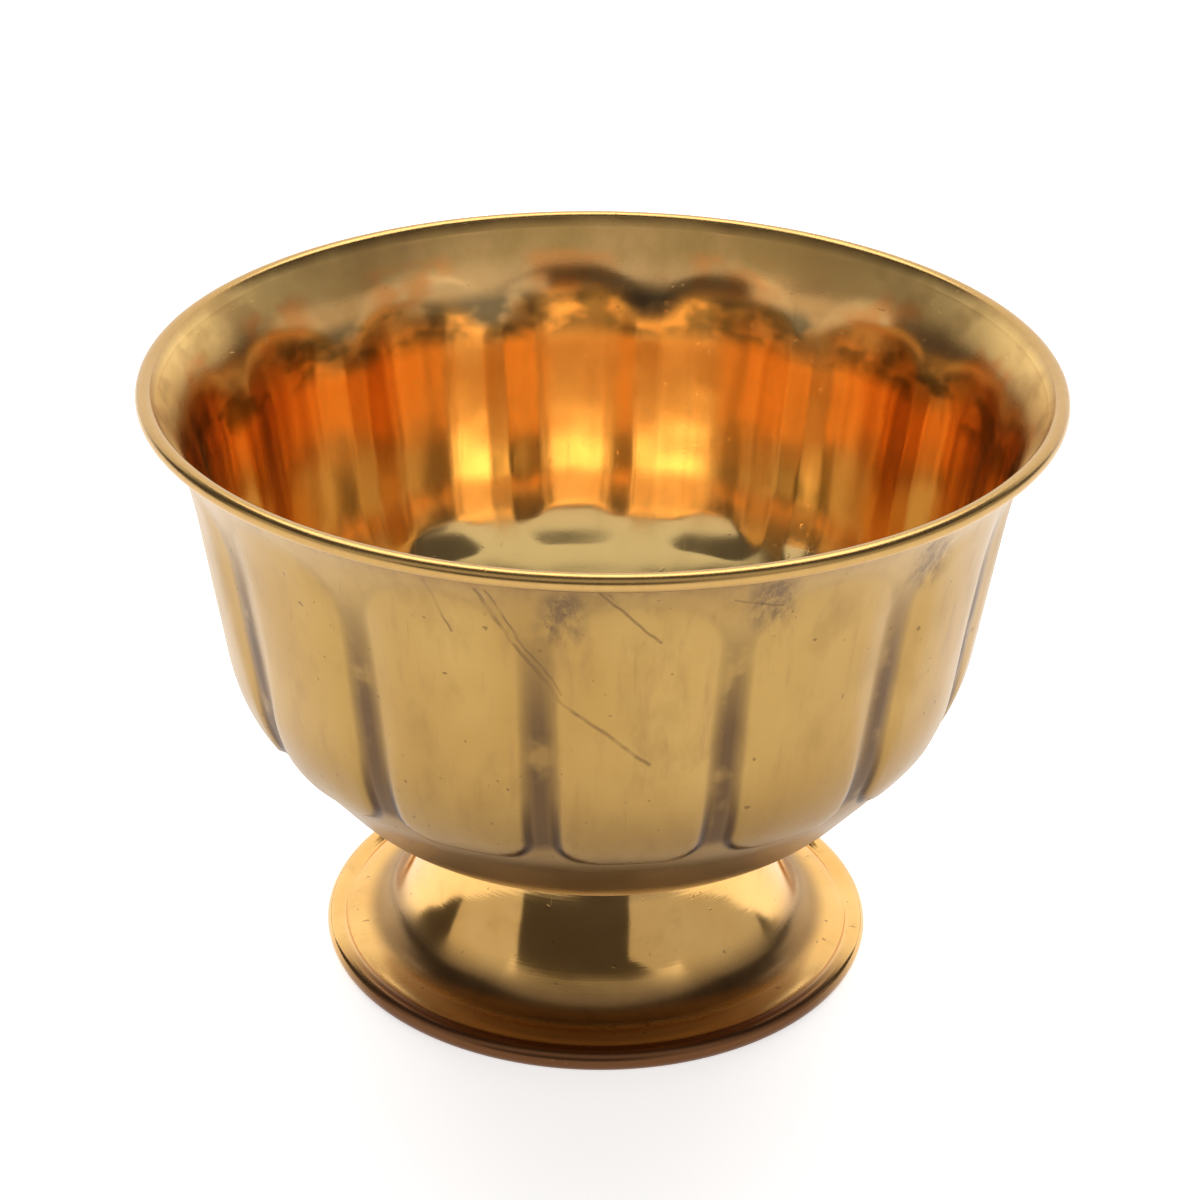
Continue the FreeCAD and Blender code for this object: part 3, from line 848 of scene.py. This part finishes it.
def dull_solder():
    """The solder's finish: two browns in clouds, with a grain."""
    f = Worn("dull_solder")
    cloudy = f.noise((1.6, 1.6, 1.2), 4.0, 0.6, 31.0)
    grain = f.noise((0.3, 0.3, 0.3), 3.0, 0.6, 32.0)
    colour = f.mix(f.ramp(cloudy, 0.35, 0.65), SOLDER_GREY, SOLDER_BROWN)
    return f.finish(colour, 0.38 + grain * 0.25, cloudy + grain * 0.3, depth=0.05)


solder_metal = dull_solder()
print(solder_metal.name, len(solder_metal.node_tree.nodes), "nodes")

# %% [markdown]
# ## The bowl
# Fourteen lobes, one every 25.7 degrees, are pressed out 0.4 mm with a crown of as much
# again. Hand work shows as a slight unevenness of the grooves' places, low waves in the
# sheet and faint upright ribs. All three come from fixed seeds.

# %% Make the bowl
bowl = spin(
    "fluted_bowl", rows, bowl_brass, Lobes=14, Columns_per_lobe=26,
    First_lobe=math.radians(-85.0), Step=0.42 * MM, Crown=0.43 * MM,
    Lobe_foot=length_at(LOBE_FOOT) * MM, Lobe_head=length_at(LOBE_HEAD) * MM,
    Waviness=0.07 * MM, Seed=3.0, Ribbing=0.06 * MM, Unevenness=math.radians(1.6),
)
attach(bowl, "root")
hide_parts("bowl_shell")

# %% [markdown]
# ## The foot
# The foot is spun from its own sheet: a dished top with a hole, a shoulder, a hollow bell, a
# ledge and a rolled edge whose underside has been ground level. Circles are again a centre
# and a radius, and the tilts are where one run turns into the next.

# %% Foot section
SEAT = ((0.0, 71.0), 57.65)
SHOULDER = ((17.19, 14.93), 1.0)
BELL = ((56.58, 26.32), 40.0)
FOOT_FILLET = ((26.83, 6.95), 4.5)
LEDGE = ((26.83, -2.55), 5.0)
EDGE = ((30.1, 1.22), 1.3)
SEAT_HOLE = 9.0
SEAT_END, SHOULDER_FROM, BELL_FROM, BELL_END, LEDGE_END = -72.97, 107, 16.1, 213.1, 64.5
EDGE_FROM, EDGE_TO = 143, -196


def foot_face(depth, step):
    """The foot's face from the seat's hole to the ledge, `depth` below the outer one."""
    hole = -math.degrees(math.acos(SEAT_HOLE / (SEAT[1] + depth)))
    return chain(
        arc(SEAT[0], -(SEAT[1] + depth), hole, SEAT_END, 3 * step),
        arc(SHOULDER[0], SHOULDER[1] - depth, SHOULDER_FROM, BELL_FROM, step * 0.4),
        arc(BELL[0], -(BELL[1] + depth), 180 + BELL_FROM, BELL_END, step),
        arc(FOOT_FILLET[0], -(FOOT_FILLET[1] + depth), BELL_END, 270, step * 0.6),
        arc(LEDGE[0], LEDGE[1] - depth, 90, LEDGE_END, step * 0.4),
    )


outer = foot_face(0.0, 0.7)
inner = foot_face(SHEET, 0.7)
flat_turn = math.degrees(math.asin(EDGE[0][1] / EDGE[1]))
roll = chain(arc(*EDGE, EDGE_FROM, -flat_turn, 0.16), arc(*EDGE, flat_turn - 180, EDGE_TO, 0.16))
foot_rows = [(p, n, s, 0.0, 1.0, 0.0) for p, n, s in outer + roll]
foot_rows += [(p, n, s, 0.0, 1.0, 1.0) for p, n, s in reversed(inner)]
foot_rows.append(foot_rows[0])
print("foot section:", len(foot_rows), "rows; edge ground flat over",
      round(2 * EDGE[1] * math.cos(math.radians(flat_turn)), 2), "mm")

# %% Make the foot
foot = spin("bell_foot", foot_rows, foot_brass, Lobes=1, Columns_per_lobe=256)
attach(foot, "root")
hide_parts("foot")

# %% [markdown]
# ## The solder
# The seam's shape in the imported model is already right, so it stays and only its finish
# changes.

# %% The seam of solder keeps its CAD shape
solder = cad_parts["solder_ring"]
for seat in solder.material_slots:
    seat.material = solder_metal
print("solder slots:", len(solder.material_slots))

# %% [markdown]
# ## The table
# The bowl stands on a plain white sheet that is lit so strongly that it glows a little.
# Most of what the wall shows is this sheet, because the lobes face slightly downwards.

# %% Floor
TABLE_HALF, TABLE_WHITE, TABLE_GLOW = 9.0, 0.9, 0.66
TABLE_ROUGH, TABLE_SHEEN = 0.6, 0.1


def table_white():
    """Matt white that glows."""
    material = bpy.data.materials.new("white table")
    material.use_nodes = True
    inputs = material.node_tree.nodes["Principled BSDF"].inputs
    inputs["Base Color"].default_value = (TABLE_WHITE, TABLE_WHITE, TABLE_WHITE, 1)
    inputs["Roughness"].default_value = TABLE_ROUGH
    inputs["Specular IOR Level"].default_value = TABLE_SHEEN
    inputs["Emission Color"].default_value = (1, 1, 1, 1)
    inputs["Emission Strength"].default_value = TABLE_GLOW
    return material


def table_sheet():
    """A square sheet at the height of zero."""
    mesh = bpy.data.meshes.new("table")
    h = TABLE_HALF
    mesh.from_pydata([(-h, -h, 0), (h, -h, 0), (h, h, 0), (-h, h, 0)], [], [(0, 1, 2, 3)])
    mesh.materials.append(table_white())
    return show("table", mesh)


floor = table_sheet()
print("table:", 2 * TABLE_HALF, "m square")

# %% [markdown]
# ## The light
# Polished brass shows the room, so the light is laid out as a room: a window on the left, a
# pale wall on the right, a bright wall behind, a large soft lamp above and a band high in
# front. The gap between the window and the wall makes the dark middle of the foot.

# %% Light
AIM = Vector((0, 0, 0.04))
ROOM_GREY = (0.075, 0.069, 0.070, 1)
SOFTBOXES = [
    # name, azimuth and elevation in degrees, distance, width and height in metres, radiance
    ("window_left", -69, 11, 1.2, 0.96, 0.62, 0.62),
    ("wall_right", 64, 11, 1.2, 2.2, 0.62, 0.50),
    ("backdrop", 180, 24, 1.2, 3.2, 1.0, 1.2),
    ("above", 180, 68, 1.0, 1.3, 0.6, 3.4),
    ("front_high", 0, 42.5, 1.1, 2.4, 0.61, 0.60),
]


def softbox(name, azimuth, elevation, distance, width, height, radiance):
    """A rectangular lamp that faces the bowl; azimuth 0 is in front, positive to the right."""
    turn, rise = math.radians(azimuth), math.radians(elevation)
    level = math.cos(rise)
    ray = Vector((math.sin(turn) * level, -math.cos(turn) * level, math.sin(rise)))
    lamp = bpy.data.lights.new(name, "AREA")
    lamp.shape = "RECTANGLE"
    lamp.size, lamp.size_y = width, height
    lamp.energy = radiance * math.pi * width * height
    holder = show(name, lamp)
    holder.location = ray * distance + AIM
    holder.rotation_euler = ray.to_track_quat("Z", "Y").to_euler()
    holder.visible_camera = False
    print(name, "-", round(lamp.energy, 2), "W")


for measures in SOFTBOXES:
    softbox(*measures)

# The rest of the room is a dim grey.
world = bpy.data.worlds.new("room")
world.use_nodes = True
world.node_tree.nodes["Background"].inputs[0].default_value = ROOM_GREY
bpy.context.scene.world = world
bpy.context.scene.view_settings.view_transform = "Standard"

# %% [markdown]
# ## The camera
# The camera looks down at 27 degrees from 0.35 m, which shows the far half of the inside
# and closes the near half. It leans by less than a degree.

# %% Camera
LOOK_DOWN, LEAN = math.radians(27.14), math.radians(-0.761)
DISTANCE, FOCUS = 0.3516, Vector((0, 0, 0.0419))
FILM_WIDTH, FOCAL_LENGTH = 36.0, 94.5


def add_camera():
    """A camera in front of the bowl that looks down at it."""
    back = Vector((0, -math.cos(LOOK_DOWN), math.sin(LOOK_DOWN)))
    right, up = Vector((1, 0, 0)), Vector((0, math.sin(LOOK_DOWN), math.cos(LOOK_DOWN)))
    leaned_right = right * math.cos(LEAN) - up * math.sin(LEAN)
    leaned_up = right * math.sin(LEAN) + up * math.cos(LEAN)
    lens = bpy.data.cameras.new("camera")
    lens.sensor_width, lens.lens = FILM_WIDTH, FOCAL_LENGTH
    camera = show("camera", lens)
    turned = Matrix((leaned_right, leaned_up, back)).transposed().to_4x4()
    camera.matrix_world = Matrix.Translation(FOCUS + back * DISTANCE) @ turned
    bpy.context.scene.camera = camera


add_camera()
print("camera:", FOCAL_LENGTH, "mm lens at", DISTANCE, "m")
